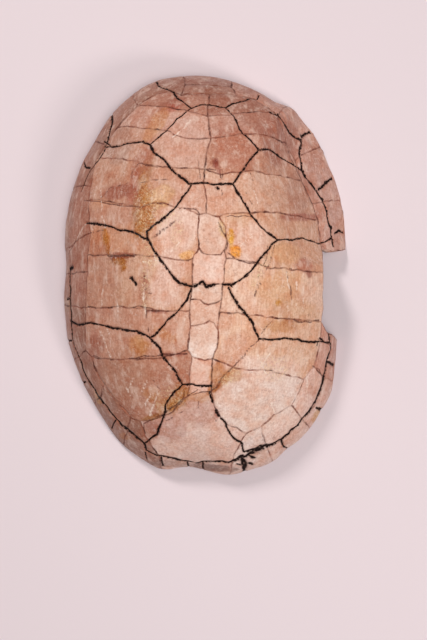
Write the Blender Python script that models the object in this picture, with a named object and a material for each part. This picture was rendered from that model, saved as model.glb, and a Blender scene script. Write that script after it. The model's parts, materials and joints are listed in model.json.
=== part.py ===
"""The upper shell (carapace) of a mud turtle: 43 bones, edge to edge at their sutures.

The head end points to -Y, so the turtle's left side is +X; +Z is up, and the shell stands on its
rim at z = 0. Every bone is drawn on the shell's plan in millimetres, laid out
flat, cut into small facets and wrapped onto the dome, with its inner face one bone thickness in.
"""
import math

import bmesh
import bpy

# Driving dimensions, in millimetres unless a name says otherwise.
MM = 0.001
HALF_WIDTH = 54.0            # of the plain oval that the dome's contour lines follow
HALF_LENGTH = 74.0
OVAL_POWER = 2.15            # 2 is an ellipse; more is squarer
CROWN_HEIGHT = 44.0
CROWN_THICKNESS = 2.8
RIM_THICKNESS = 4.0
FLANK_POWER = 1.3            # how full the flanks are: less is fuller
END_POWER_CHANGE = 0.2       # the front slopes more gently, the rear more steeply
KEEL_HEIGHT = 1.1            # two low keels run along the costals
KEEL_OFFSET = 22.0
KEEL_WIDTH = 8.0
FRONT_RISE = 2.5             # how far the rim lifts off the ground at each end
REAR_RISE = 2.0
SUTURE_GAP = 0.3             # between two neighbouring bones
LAYOUT_STRETCH = 1.3         # least stretch from the flat layout to the dome
FACET = 4.2                  # spacing of the facet lines on the flat layout
RIM_STEP_DEG = 5.0
CENTRE_SHIFT = (0.57, -0.02)   # brings the middle of the finished shell to x = y = 0

# The flare of the left rear rim: a crease, then a gentle slope out to the edge.
FLARE_START_DEG = 4.0
FLARE_FULL_DEG = 20.0
FLARE_FADE_DEG = 60.0
FLARE_END_DEG = 70.0
FLARE_CREASE_HEIGHT = 12.0
FLARE_CREASE_RADIUS = 0.80   # share of the way from the middle to the rim
FLARE_SHOULDER_RADIUS = 0.40

# The rim on the plan, anticlockwise from the right front; the two missing bones' stretch included.
RIM_OUTLINE = [
    (-11.5, -74.0), (-2.0, -72.5), (5.5, -73.5), (12.5, -74.5), (20.0, -72.5), (29.5, -68.5),
    (34.5, -63.5), (38.5, -60.5), (43.5, -54.5), (47.0, -48.0), (50.0, -41.5), (51.0, -30.0),
    (51.0, -21.5), (52.0, -14.5), (53.0, -6.0), (53.5, 3.5), (52.5, 12.5), (52.0, 18.5),
    (50.5, 27.5), (47.0, 38.5), (43.0, 46.5), (38.5, 54.5), (32.5, 61.0), (28.5, 65.0),
    (24.0, 65.5), (16.5, 69.5), (8.5, 72.5), (1.0, 74.0), (-7.5, 74.5), (-18.0, 73.0),
    (-25.0, 70.5), (-32.5, 65.0), (-39.0, 57.5), (-44.5, 48.0), (-48.5, 40.0), (-50.5, 33.5),
    (-52.5, 25.0), (-53.5, 10.0), (-52.5, -0.5), (-52.5, -15.0), (-51.5, -21.0), (-50.0, -29.0),
    (-46.5, -37.5), (-43.0, -44.5), (-38.0, -52.0), (-32.0, -60.0), (-27.5, -65.0), (-19.5, -70.5),
]

# Where sutures meet, on the plan. "_l" is the turtle's left (+X) and "_r" its right (-X).
JUNCTIONS = {
    # along the neurals, from the nuchal back
    "n1_front_r": (-3.5, -44.5), "n1_front_l": (5.0, -42.0),
    "n1_rear_r": (-3.0, -30.0), "n1_rear_l": (4.5, -30.5),
    "c12_in_r": (-4.5, -28.0),
    "n2_rear_r": (-4.0, -19.0), "n2_rear_l": (6.0, -20.0),
    "c23_in_r": (-4.5, -14.0), "c23_in_l": (6.0, -14.0),
    "n3_rear_r": (-4.5, -10.0), "n3_rear_l": (6.5, -9.5),
    "n4_rear_r": (-4.0, -4.5), "n4_rear_l": (6.5, -4.0),
    "c34_in_r": (-4.5, 4.5), "c34_in_l": (7.0, 5.5),
    "n5_rear_r": (-2.5, 8.0), "n5_rear_l": (6.5, 8.5),
    "c45_in_r": (-3.0, 20.0), "c45_in_l": (4.0, 19.5),
    # along the midline behind the neurals
    "n6_rear": (-0.5, 20.5),
    "mid_56": (-2.5, 36.5), "mid_67": (-1.0, 48.0), "mid_78": (-2.5, 56.5), "mid_8s": (-2.5, 65.5),
    # round the outer ends of the right costals
    "nuchal_r": (-20.0, -55.0), "p12_r": (-24.0, -54.0), "p23_r": (-34.5, -43.0),
    "c12_r": (-39.5, -33.0), "p34_r": (-42.0, -30.5), "c23_r": (-42.5, -15.0),
    "p56_r": (-42.5, -2.0), "c34_r": (-43.0, 4.0), "p67_r": (-42.5, 12.0),
    "c45_r": (-44.0, 24.5), "p78_r": (-44.0, 29.5), "c56_r": (-42.5, 40.0),
    "p89_r": (-39.5, 45.0), "c67_r": (-35.5, 52.0), "c78_r": (-28.5, 60.0),
    "supra_r": (-12.5, 64.5), "pygal_r": (-11.5, 69.0),
    # round the outer ends of the left costals
    "nuchal_l": (18.5, -57.0), "p12_l": (23.5, -54.5), "p23_l": (34.5, -46.0),
    "c12_l": (38.5, -36.0), "p34_l": (42.0, -31.0), "c23_l": (43.5, -15.0),
    "c34_l": (43.0, 3.0), "p67_l": (42.5, 14.0), "c45_l": (40.0, 22.5),
    "p78_l": (38.0, 28.5), "c56_l": (33.5, 36.5), "p89_l": (30.5, 44.0),
    "c67_l": (27.0, 50.0), "c78_l": (23.0, 59.5), "supra_l": (7.5, 66.0), "pygal_l": (5.5, 69.5),
    # on the rim
    "rim_n1_r": (-11.5, -73.5), "rim_12_r": (-27.0, -65.5), "rim_23_r": (-39.0, -51.0),
    "rim_34_r": (-47.5, -34.5), "rim_45_r": (-52.0, -13.5), "rim_56_r": (-52.5, -3.0),
    "rim_67_r": (-53.0, 5.5), "rim_78_r": (-52.0, 29.0), "rim_89_r": (-45.0, 47.5),
    "rim_910_r": (-32.0, 65.5), "rim_py_r": (-12.5, 74.0),
    "rim_n1_l": (13.0, -74.5), "rim_12_l": (29.5, -68.5), "rim_23_l": (43.0, -55.0),
    "rim_34_l": (50.5, -36.0), "rim_45_l": (51.0, -21.5), "rim_67_l": (52.5, 13.0),
    "rim_78_l": (50.0, 31.0), "rim_89_l": (40.5, 50.5), "rim_910_l": (27.0, 65.0),
    "rim_py_l": (5.5, 73.5),
}

# Sutures that aren't straight between their junctions: the points they pass on the way.
BENDS = {
    ("n1_front_r", "n1_front_l"): [(-1.0, -43.5), (1.0, -42.5)],
    ("n1_rear_r", "n1_front_r"): [(-3.0, -40.0)],
    ("n2_rear_r", "n2_rear_l"): [(-1.5, -19.0), (2.5, -17.0), (4.5, -18.0)],
    ("n2_rear_l", "n1_rear_l"): [(6.0, -25.5)],
    ("n3_rear_r", "n3_rear_l"): [(-1.0, -10.0), (2.0, -11.5), (4.5, -10.5)],
    ("c34_in_r", "n5_rear_r"): [(-3.0, 6.5)],
    ("n5_rear_r", "n5_rear_l"): [(-1.0, 6.5), (2.0, 6.0), (5.0, 6.5)],
    ("n5_rear_r", "c45_in_r"): [(-3.0, 11.0), (-3.5, 15.0)],
    ("n5_rear_l", "c45_in_l"): [(7.0, 11.0), (6.5, 16.0)],
    ("nuchal_r", "n1_front_r"): [(-16.5, -54.0), (-12.5, -52.5), (-8.5, -49.0)],
    ("nuchal_l", "n1_front_l"): [(14.5, -55.0), (9.5, -53.0), (6.0, -47.0)],
    ("nuchal_r", "rim_n1_r"): [(-18.5, -60.5), (-12.5, -68.5)],
    ("nuchal_l", "rim_n1_l"): [(17.0, -60.0), (14.5, -66.0)],
    ("p12_r", "p23_r"): [(-29.0, -49.0)],
    ("p12_l", "p23_l"): [(28.0, -50.0)],
    ("p23_r", "c12_r"): [(-38.5, -37.0)],
    ("p23_l", "c12_l"): [(37.0, -41.0)],
    ("p12_r", "rim_12_r"): [(-25.0, -59.5)],
    ("p12_l", "rim_12_l"): [(26.0, -60.5)],
    ("p23_r", "rim_23_r"): [(-36.0, -47.5)],
    ("p23_l", "rim_23_l"): [(39.0, -51.0)],
    ("p34_r", "rim_34_r"): [(-45.0, -33.5)],
    ("p34_l", "rim_34_l"): [(45.5, -35.0)],
    ("p67_r", "rim_67_r"): [(-46.5, 10.5), (-49.5, 7.5)],
    ("c23_l", "rim_45_l"): [(46.5, -19.0), (48.5, -19.5)],
    ("p67_l", "rim_67_l"): [(43.5, 12.5), (47.0, 11.5)],
    ("c12_in_r", "c12_r"): [(-11.0, -30.5), (-25.0, -32.5)],
    ("n1_rear_l", "c12_l"): [(10.0, -32.0), (14.0, -33.5), (25.5, -33.5)],
    ("c23_in_r", "c23_r"): [(-11.5, -14.5), (-29.5, -14.0)],
    ("c23_in_l", "c23_l"): [(15.5, -14.0), (32.0, -14.5)],
    ("c34_in_r", "c34_r"): [(-7.5, 3.5), (-17.0, 4.5)],
    ("c34_in_l", "c34_l"): [(14.0, 5.0), (22.0, 3.0)],
    ("c45_in_r", "c45_r"): [(-6.5, 21.5), (-18.5, 23.5), (-24.0, 21.5), (-34.0, 23.0)],
    ("c45_in_l", "c45_l"): [(7.0, 21.0), (19.0, 22.5)],
    ("mid_56", "c56_r"): [(-15.5, 36.5), (-22.0, 37.0), (-30.0, 39.0)],
    ("mid_56", "c56_l"): [(3.5, 35.0), (21.0, 37.0)],
    ("mid_67", "c67_r"): [(-9.5, 47.5), (-18.5, 50.5), (-26.0, 51.0)],
    ("mid_67", "c67_l"): [(10.5, 50.5)],
    ("mid_78", "c78_r"): [(-9.0, 58.0), (-20.0, 59.5)],
    ("mid_78", "c78_l"): [(5.5, 57.5), (15.5, 60.0)],
    ("n6_rear", "mid_56"): [(-1.0, 25.5), (-2.5, 32.5)],
    ("supra_r", "mid_8s"): [(-9.5, 65.5)],
    ("mid_8s", "supra_l"): [(2.5, 66.5)],
    ("p89_r", "c67_r"): [(-37.5, 49.0)],
    ("c78_r", "supra_r"): [(-23.5, 64.0), (-17.5, 66.0)],
    ("c78_l", "supra_l"): [(19.0, 63.0), (14.5, 65.5)],
    ("p34_l", "c23_l"): [(43.5, -23.5)],
    ("c23_l", "c34_l"): [(43.5, -4.5)],
}

# Each bone's corners in order. Two rim corners in a row are joined along the rim.
BONES = {
    "nuchal": "nuchal_r rim_n1_r rim_n1_l nuchal_l n1_front_l n1_front_r",
    "neural_1": "n1_front_r n1_front_l n1_rear_l n1_rear_r",
    "neural_2": "n1_rear_r n1_rear_l n2_rear_l n2_rear_r c12_in_r",
    "neural_3": "n2_rear_r n2_rear_l c23_in_l n3_rear_l n3_rear_r c23_in_r",
    "neural_4": "n3_rear_r n3_rear_l n4_rear_l n4_rear_r",
    "neural_5": "n4_rear_r n4_rear_l c34_in_l n5_rear_l n5_rear_r c34_in_r",
    "neural_6": "n5_rear_r n5_rear_l c45_in_l n6_rear c45_in_r",
    "suprapygal": "supra_r mid_8s supra_l pygal_l pygal_r",
    "pygal": "pygal_r pygal_l rim_py_l rim_py_r",
    "costal_right_1": "nuchal_r n1_front_r n1_rear_r c12_in_r c12_r p23_r p12_r",
    "costal_right_2": "c12_in_r n2_rear_r c23_in_r c23_r p34_r c12_r",
    "costal_right_3": "c23_in_r n3_rear_r n4_rear_r c34_in_r c34_r p56_r c23_r",
    "costal_right_4": "c34_in_r n5_rear_r c45_in_r c45_r p67_r c34_r",
    "costal_right_5": "c45_in_r n6_rear mid_56 c56_r p78_r c45_r",
    "costal_right_6": "mid_56 mid_67 c67_r p89_r c56_r",
    "costal_right_7": "mid_67 mid_78 c78_r c67_r",
    "costal_right_8": "mid_78 mid_8s supra_r c78_r",
    "costal_left_1": "nuchal_l n1_front_l n1_rear_l c12_l p23_l p12_l",
    "costal_left_2": "n1_rear_l n2_rear_l c23_in_l c23_l p34_l c12_l",
    "costal_left_3": "c23_in_l n3_rear_l n4_rear_l c34_in_l c34_l c23_l",
    "costal_left_4": "c34_in_l n5_rear_l c45_in_l c45_l p67_l c34_l",
    "costal_left_5": "c45_in_l n6_rear mid_56 c56_l p78_l c45_l",
    "costal_left_6": "mid_56 mid_67 c67_l p89_l c56_l",
    "costal_left_7": "mid_67 mid_78 c78_l c67_l",
    "costal_left_8": "mid_78 mid_8s supra_l c78_l",
    "peripheral_right_1": "nuchal_r p12_r rim_12_r rim_n1_r",
    "peripheral_right_2": "p12_r p23_r rim_23_r rim_12_r",
    "peripheral_right_3": "p23_r c12_r p34_r rim_34_r rim_23_r",
    "peripheral_right_4": "p34_r c23_r rim_45_r rim_34_r",
    "peripheral_right_5": "c23_r p56_r rim_56_r rim_45_r",
    "peripheral_right_6": "p56_r c34_r p67_r rim_67_r rim_56_r",
    "peripheral_right_7": "p67_r c45_r p78_r rim_78_r rim_67_r",
    "peripheral_right_8": "p78_r c56_r p89_r rim_89_r rim_78_r",
    "peripheral_right_9": "p89_r c67_r c78_r rim_910_r rim_89_r",
    "peripheral_right_10": "c78_r supra_r pygal_r rim_py_r rim_910_r",
    "peripheral_left_1": "nuchal_l p12_l rim_12_l rim_n1_l",
    "peripheral_left_2": "p12_l p23_l rim_23_l rim_12_l",
    "peripheral_left_3": "p23_l c12_l p34_l rim_34_l rim_23_l",
    "peripheral_left_4": "p34_l c23_l rim_45_l rim_34_l",
    "peripheral_left_7": "p67_l c45_l p78_l rim_78_l rim_67_l",
    "peripheral_left_8": "p78_l c56_l p89_l rim_89_l rim_78_l",
    "peripheral_left_9": "p89_l c67_l c78_l rim_910_l rim_89_l",
    "peripheral_left_10": "c78_l supra_l pygal_l rim_py_l rim_910_l",
}

# Dry bone, a little pinker or paler by the part of the shell it comes from.
BONE_COLOURS = {
    "nuchal": (0.60, 0.42, 0.35),
    "neural": (0.75, 0.56, 0.47),
    "costal": (0.66, 0.44, 0.34),
    "suprapygal": (0.62, 0.41, 0.33),
    "pygal": (0.60, 0.40, 0.32),
    "peripheral": (0.58, 0.39, 0.32),
}
BONE_ROUGHNESS = 0.6


def smooth_step(low, high, value):
    """0 below low, 1 above high, an S curve between."""
    share = min(1.0, max(0.0, (value - low) / (high - low)))
    return share * share * (3.0 - 2.0 * share)


def oval_radius(angle):
    """Distance from the middle to the plain oval."""
    across = abs(math.cos(angle)) / HALF_WIDTH
    along = abs(math.sin(angle)) / HALF_LENGTH
    return (across ** OVAL_POWER + along ** OVAL_POWER) ** (-1.0 / OVAL_POWER)


RIM_POLAR = sorted((math.atan2(y, x), math.hypot(x, y)) for x, y in RIM_OUTLINE)


def rim_radius(angle):
    """Distance from the middle to the real rim: a smooth closed curve through RIM_OUTLINE."""
    count = len(RIM_POLAR)
    after = next((i for i, (a, _) in enumerate(RIM_POLAR) if a > angle), 0)
    knots = []
    for step in (-2, -1, 0, 1):
        a, r = RIM_POLAR[(after + step) % count]
        knots.append((a, r))
    (a0, r0), (a1, r1), (a2, r2), (a3, r3) = knots
    turn = 2.0 * math.pi
    span = (a2 - a1) % turn
    before = (a1 - a0) % turn
    beyond = (a3 - a2) % turn
    slope_1 = (r2 - r0) / (span + before)
    slope_2 = (r3 - r1) / (span + beyond)
    t = ((angle - a1) % turn) / span
    return (r1 * (1 + 2 * t) * (1 - t) ** 2 + r2 * t * t * (3 - 2 * t)
            + span * (slope_1 * t * (1 - t) ** 2 - slope_2 * t * t * (1 - t)))


def contour_radius(angle, share):
    """Radius of the contour line at a share of the way out: the plain oval turning into the rim."""
    oval = oval_radius(angle)
    return share * (oval + (rim_radius(angle) - oval) * share ** 4)


def lay_flat(x, y):
    """A point on the plan, moved to its place on the flat layout of the dome."""
    angle = math.atan2(y, x)
    distance = math.hypot(x, y)
    share = 0.5
    for _ in range(30):
        share = distance / (contour_radius(angle, share) / share)
        share = min(1.0, share)
    reach = rim_radius(angle) * math.asin(share) / (math.pi / 2)
    return reach * math.cos(angle), reach * math.sin(angle)


def rim_rise(angle):
    """Height of the rim's lower edge: zero along both sides, lifting towards the ends."""
    front = FRONT_RISE * smooth_step(0.6, 1.0, -math.sin(angle))
    rear = REAR_RISE * smooth_step(0.6, 1.0, math.sin(angle))
    return front + rear


def flare_share(angle):
    """1 where the left rear rim flares fully, 0 on the rest of the shell."""
    degrees = math.degrees(angle)
    rising = smooth_step(FLARE_START_DEG, FLARE_FULL_DEG, degrees)
    return rising * (1.0 - smooth_step(FLARE_FADE_DEG, FLARE_END_DEG, degrees))


def dome_height(angle, slope_angle):
    """Height of the outer face. slope_angle runs from 0 at the crown to 90 degrees at the rim."""
    rise = rim_rise(angle)
    power = FLANK_POWER - END_POWER_CHANGE * math.sin(angle)
    share = math.sin(slope_angle)
    dome = (CROWN_HEIGHT - rise) * max(0.0, math.cos(slope_angle)) ** power
    flare = flare_share(angle)
    if flare > 0.0:
        crease = FLARE_CREASE_RADIUS
        crease_dome = (CROWN_HEIGHT - rise) * (1.0 - crease ** 2) ** (power / 2)
        drop = crease_dome - FLARE_CREASE_HEIGHT
        if share < crease:
            flared = dome - drop * smooth_step(FLARE_SHOULDER_RADIUS, crease + 0.12, share) / \
                smooth_step(FLARE_SHOULDER_RADIUS, crease + 0.12, crease)
        else:
            flared = FLARE_CREASE_HEIGHT * (1.0 - share) / (1.0 - crease)
        dome += flare * (flared - dome)
    return rise + dome


def wrap(layout_x, layout_y, outer):
    """A point of the flat layout, on the outer or the inner face of the shell, in metres."""
    angle = math.atan2(layout_y, layout_x)
    reach = min(1.0, math.hypot(layout_x, layout_y) / rim_radius(angle))
    slope_angle = reach * math.pi / 2
    radius = contour_radius(angle, math.sin(slope_angle))
    height = dome_height(angle, slope_angle)
    keel_distance = (abs(radius * math.cos(angle)) - KEEL_OFFSET) / KEEL_WIDTH
    height += KEEL_HEIGHT * math.exp(-keel_distance ** 2) * math.cos(slope_angle)
    if not outer:
        depth = CROWN_THICKNESS + (RIM_THICKNESS - CROWN_THICKNESS) * reach ** 3
        radius -= depth * math.sin(slope_angle)
        height = max(rim_rise(angle), height - depth * math.cos(slope_angle))
    x = radius * math.cos(angle) + CENTRE_SHIFT[0]
    y = radius * math.sin(angle) + CENTRE_SHIFT[1]
    return x * MM, y * MM, height * MM


def rim_run(start, end):
    """Flat-layout points along the rim between two rim corners, the short way round."""
    first = math.atan2(start[1], start[0])
    turn = (math.atan2(end[1], end[0]) - first + math.pi) % (2 * math.pi) - math.pi
    steps = max(1, round(abs(math.degrees(turn)) / RIM_STEP_DEG))
    points = []
    for step in range(1, steps):
        angle = first + turn * step / steps
        reach = rim_radius(angle)
        points.append((reach * math.cos(angle), reach * math.sin(angle)))
    return points


def lay_corner(name):
    """A junction on the flat layout; rim corners go exactly onto the rim."""
    x, y = JUNCTIONS[name]
    if name.startswith("rim_"):
        angle = math.atan2(y, x)
        reach = rim_radius(angle)
        return reach * math.cos(angle), reach * math.sin(angle)
    return lay_flat(x, y)


def bone_outline(corners):
    """The closed outline of one bone on the flat layout."""
    outline = []
    for here, following in zip(corners, corners[1:] + corners[:1]):
        outline.append(lay_corner(here))
        if here.startswith("rim_") and following.startswith("rim_"):
            outline += rim_run(JUNCTIONS[here], JUNCTIONS[following])
        elif (here, following) in BENDS:
            outline += [lay_flat(*point) for point in BENDS[here, following]]
        elif (following, here) in BENDS:
            outline += [lay_flat(*point) for point in reversed(BENDS[following, here])]
    return outline


def signed_area(outline):
    """Positive where the outline runs anticlockwise."""
    pairs = zip(outline, outline[1:] + outline[:1])
    return sum(x1 * y2 - x2 * y1 for (x1, y1), (x2, y2) in pairs) / 2


def cut_into_facets(mesh, outline):
    """Cut the flat bone along evenly spaced lines, so that it can bend over the dome."""
    for axis in (0, 1):
        values = [point[axis] for point in outline]
        line = math.ceil(min(values) / FACET) * FACET
        while line < max(values):
            place = [0.0, 0.0, 0.0]
            normal = [0.0, 0.0, 0.0]
            place[axis] = line
            normal[axis] = 1.0
            everything = mesh.verts[:] + mesh.edges[:] + mesh.faces[:]
            bmesh.ops.bisect_plane(mesh, geom=everything, dist=0.05, plane_co=place, plane_no=normal)
            line += FACET


def build_bone(name, corners):
    """One bone: flat outline, gap, facets, thickness, then wrapped onto the dome."""
    outline = bone_outline(corners)
    if signed_area(outline) < 0:
        outline.reverse()
    mesh = bmesh.new()
    face = mesh.faces.new([mesh.verts.new((x, y, 0.0)) for x, y in outline])
    mesh.normal_update()
    half_gap = SUTURE_GAP / 2 / LAYOUT_STRETCH
    ring = bmesh.ops.inset_individual(mesh, faces=[face], thickness=half_gap, use_even_offset=True)
    bmesh.ops.delete(mesh, geom=ring["faces"], context="FACES")
    for vertex in mesh.verts:
        angle = math.atan2(vertex.co.y, vertex.co.x)
        reach = math.hypot(vertex.co.x, vertex.co.y)
        if reach > rim_radius(angle) - 2 * half_gap:
            vertex.co.xy = vertex.co.xy * (rim_radius(angle) / reach)
    cut_into_facets(mesh, outline)
    bmesh.ops.remove_doubles(mesh, verts=mesh.verts, dist=0.08)
    bmesh.ops.triangulate(mesh, faces=mesh.faces, quad_method="BEAUTY", ngon_method="BEAUTY")

    sheet = bmesh.ops.extrude_face_region(mesh, geom=mesh.faces[:])
    outer = {item for item in sheet["geom"] if isinstance(item, bmesh.types.BMVert)}
    for vertex in mesh.verts:
        vertex.co = wrap(vertex.co.x, vertex.co.y, vertex in outer)
    bmesh.ops.recalc_face_normals(mesh, faces=mesh.faces)

    data = bpy.data.meshes.new(name)
    mesh.to_mesh(data)
    mesh.free()
    data.shade_smooth()
    data.set_sharp_from_angle(angle=math.radians(40))
    return data


def bone_material(name):
    """Dry bone in the colour of its part of the shell."""
    kind = name.split("_")[0]
    material = bpy.data.materials.new(name + " bone")
    material.use_nodes = True
    shader = material.node_tree.nodes["Principled BSDF"]
    shader.inputs["Base Color"].default_value = (*BONE_COLOURS[kind], 1.0)
    shader.inputs["Roughness"].default_value = BONE_ROUGHNESS
    shader.inputs["Metallic"].default_value = 0.0
    return material


def main():
    for item in list(bpy.data.objects):
        bpy.data.objects.remove(item, do_unlink=True)
    carapace = bpy.data.objects.new("carapace", None)
    bpy.context.scene.collection.objects.link(carapace)
    for name, corners in BONES.items():
        bone = bpy.data.objects.new(name, build_bone(name, corners.split()))
        bone.data.materials.append(bone_material(name))
        bone.parent = carapace
        bpy.context.scene.collection.objects.link(bone)


main()
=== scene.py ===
# %% [markdown]
# # A mud turtle's carapace in dry bone
#
# The upper shell of a turtle is a dome of bones that meet edge to edge at fine sutures. Horny plates
# called scutes once covered it. They are gone here, but the grooves between them, the sulci, are
# still stamped in the bone and have filled with black earth. The imported model already holds each
# bone as a plain solid in its place, so this lesson carves and colours them. It starts by loading
# the imported frame.

import itertools
import json
import math

import bpy
import numpy as np
from mathutils.bvhtree import BVHTree
from mathutils.kdtree import KDTree
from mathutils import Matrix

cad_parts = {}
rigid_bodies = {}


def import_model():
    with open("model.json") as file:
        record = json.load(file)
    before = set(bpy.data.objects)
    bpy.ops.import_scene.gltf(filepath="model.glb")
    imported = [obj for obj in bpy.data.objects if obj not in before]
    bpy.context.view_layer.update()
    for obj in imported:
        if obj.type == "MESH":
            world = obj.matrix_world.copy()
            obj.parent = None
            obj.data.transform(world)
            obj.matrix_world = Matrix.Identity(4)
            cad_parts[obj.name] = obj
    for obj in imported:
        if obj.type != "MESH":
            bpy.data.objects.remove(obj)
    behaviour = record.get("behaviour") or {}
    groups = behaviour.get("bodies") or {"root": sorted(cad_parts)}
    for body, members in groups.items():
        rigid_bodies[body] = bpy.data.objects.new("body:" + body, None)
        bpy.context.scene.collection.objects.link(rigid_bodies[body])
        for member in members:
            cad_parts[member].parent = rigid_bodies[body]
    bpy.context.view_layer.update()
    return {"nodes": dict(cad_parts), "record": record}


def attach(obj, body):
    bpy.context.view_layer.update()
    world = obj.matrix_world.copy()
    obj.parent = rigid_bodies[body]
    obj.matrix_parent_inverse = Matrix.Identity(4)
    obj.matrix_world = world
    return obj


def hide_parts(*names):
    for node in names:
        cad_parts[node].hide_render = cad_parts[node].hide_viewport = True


for leftover in list(bpy.data.objects):
    bpy.data.objects.remove(leftover, do_unlink=True)
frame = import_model()
MM = 0.001

# %% [markdown]
# ## A smooth dome over the flat facets
#
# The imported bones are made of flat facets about 4 mm wide. A dry bone is smooth there, so the fine
# mesh that we carve has to bulge a little between the facets' corners. A subdivision surface would
# do that, but it pulls the edges of each bone inwards and opens the sutures. So each point is
# pushed out by Phong tessellation: it looks at the tangent planes of its facet's three corners and
# moves half way to them. For that every corner needs a normal, averaged with its neighbours' on
# the bones around it, so that the curve runs on over the sutures.

# %% Read the outer skin of every bone
NORMAL_REACH = 3.2           # mm over which corner normals are averaged
OUTER_LEAN = 0.45            # a face whose normal leans out more than this is part of the outer skin
DOME_HALF_AXES = np.array([53.0, 74.5, 44.0])


def bone_arrays(mesh):
    """A mesh's corners in millimetres, with its triangles."""
    points = np.empty(len(mesh.vertices) * 3)
    mesh.vertices.foreach_get("co", points)
    mesh.calc_loop_triangles()
    triangles = np.empty(len(mesh.loop_triangles) * 3, dtype=np.int64)
    mesh.loop_triangles.foreach_get("vertices", triangles)
    return points.reshape(-1, 3) / MM, triangles.reshape(-1, 3)


def unit(vectors):
    return vectors / np.maximum(np.linalg.norm(vectors, axis=1, keepdims=True), 1e-12)


def outwards(points):
    """The direction away from the dome at each point."""
    return unit(points / DOME_HALF_AXES ** 2)


def triangle_normals(points, triangles):
    a, b, c = (points[triangles[:, i]] for i in range(3))
    return unit(np.cross(b - a, c - a))


def pick(bone):
    """Select one bone alone and make it active, because operators act on all that is selected."""
    bpy.ops.object.select_all(action="DESELECT")
    bpy.context.view_layer.objects.active = bone
    bone.select_set(True)


def merged_copy(node):
    """A copy of a bone whose loose triangles are joined at their corners."""
    bone = bpy.data.objects.new(node + "_bone", frame["nodes"][node].data.copy())
    bpy.context.scene.collection.objects.link(bone)
    pick(bone)
    bpy.ops.object.mode_set(mode="EDIT")
    bpy.ops.mesh.select_all(action="SELECT")
    bpy.ops.mesh.remove_doubles(threshold=0.01 * MM)
    bpy.ops.object.mode_set(mode="OBJECT")
    return bone


bones = {node: merged_copy(node) for node in sorted(frame["nodes"])}
skins = {}
for node, bone in bones.items():
    points, triangles = bone_arrays(bone.data)
    normals = triangle_normals(points, triangles)
    middles = points[triangles].mean(axis=1)
    skins[node] = points, triangles[(normals * outwards(middles)).sum(axis=1) > OUTER_LEAN]
print("outer facets:", sum(len(skin[1]) for skin in skins.values()))

# %% Average the corner normals over the sutures
corner_points = []
corner_normals = []
for points, skin in skins.values():
    a, b, c = (points[skin[:, i]] for i in range(3))
    weighted = np.cross(b - a, c - a)
    gathered = np.zeros_like(points)
    for i in range(3):
        np.add.at(gathered, skin[:, i], weighted)
    used = np.unique(skin)
    corner_points.append(points[used])
    corner_normals.append(unit(gathered[used]))
corner_points = np.concatenate(corner_points)
corner_normals = np.concatenate(corner_normals)


def tree_of(points):
    tree = KDTree(len(points))
    for index, point in enumerate(points):
        tree.insert(point, index)
    tree.balance()
    return tree


corner_tree = tree_of(corner_points)


def smooth_normals(points):
    """The dome's normals at the given corners."""
    result = np.zeros_like(points)
    for row, point in enumerate(points):
        for _, index, distance in corner_tree.find_range(point, NORMAL_REACH):
            result[row] += corner_normals[index] * (1.0 - distance / NORMAL_REACH)
    return unit(result)


def on_smooth_dome(tree, corners, normals, facets, points):
    """Points of the flat facets, bulged out onto the smooth dome, with the dome's normals there."""
    nearest = [tree.find_nearest(point) for point in points]
    place = np.array([hit[0] for hit in nearest])
    facet = facets[np.array([hit[2] for hit in nearest])]
    a, b, c = (corners[facet[:, i]] for i in range(3))
    area = np.cross(b - a, c - a)
    size = np.maximum((area * area).sum(axis=1), 1e-12)
    share_b = (np.cross(place - a, c - a) * area).sum(axis=1) / size
    share_c = (np.cross(b - a, place - a) * area).sum(axis=1) / size
    shares = np.clip(np.stack([1.0 - share_b - share_c, share_b, share_c]), 0.0, 1.0)
    bulge = np.zeros_like(place)
    normal = np.zeros_like(place)
    for i, corner in enumerate((a, b, c)):
        corner_normal = normals[facet[:, i]]
        out = ((place - corner) * corner_normal).sum(axis=1, keepdims=True)
        bulge -= shares[i][:, None] * out * corner_normal
        normal += shares[i][:, None] * corner_normal
    return place + 0.5 * bulge, unit(normal)


print("corners with a normal:", len(corner_points))

# %% [markdown]
# ## Noise for the small irregularities
#
# Nothing that grew is quite even. One noise function serves for wobbling lines, gentle bumps and
# ragged stains. It hashes the corners of a lattice and blends between them, so it gives the same
# values on every run and two neighbouring bones agree at their suture.

# %% Lattice noise
HASH_PRIMES = np.array([73856093, 19349663, 83492791], dtype=np.int64)


def noise(points, size, seed):
    """Smooth noise from -1 to 1 with bumps about `size` mm across."""
    scaled = points / size
    cell = np.floor(scaled).astype(np.int64)
    inside = scaled - cell
    inside = inside * inside * (3.0 - 2.0 * inside)
    total = np.zeros(len(points))
    for corner in itertools.product((0, 1), repeat=3):
        key = ((cell + corner) * HASH_PRIMES).sum(axis=1) + seed * 104729
        key = (key ^ (key >> 13)) * 1274126177 & 0xFFFFFFFF
        key = (key ^ (key >> 16)) * 668265263 & 0xFFFFFFFF
        value = (key >> 8 & 0xFFFF) / 32767.5 - 1.0
        weight = np.prod(np.where(corner, inside, 1.0 - inside), axis=1)
        total += weight * value
    return total


def smooth_step(low, high, value):
    share = np.clip((value - low) / (high - low), 0.0, 1.0)
    return share * share * (3.0 - 2.0 * share)


print("noise at the crown:", noise(np.array([[0.0, 0.0, 44.0]]), 5.0, 1))

# %% [markdown]
# ## The sulci
#
# The grooves between the scutes follow a fixed plan in every turtle: five vertebral scutes down the
# middle, four pleurals on each side and a ring of small marginals at the rim. Each line here is a
# few points in millimetres, seen from above, with half its width. They could be cut with a boolean
# tool, but a sulcus is a soft channel pressed into the bone, so the lines become rows of closely
# spaced points on the dome, and the mesh is lowered by its distance from the nearest one.

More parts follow.
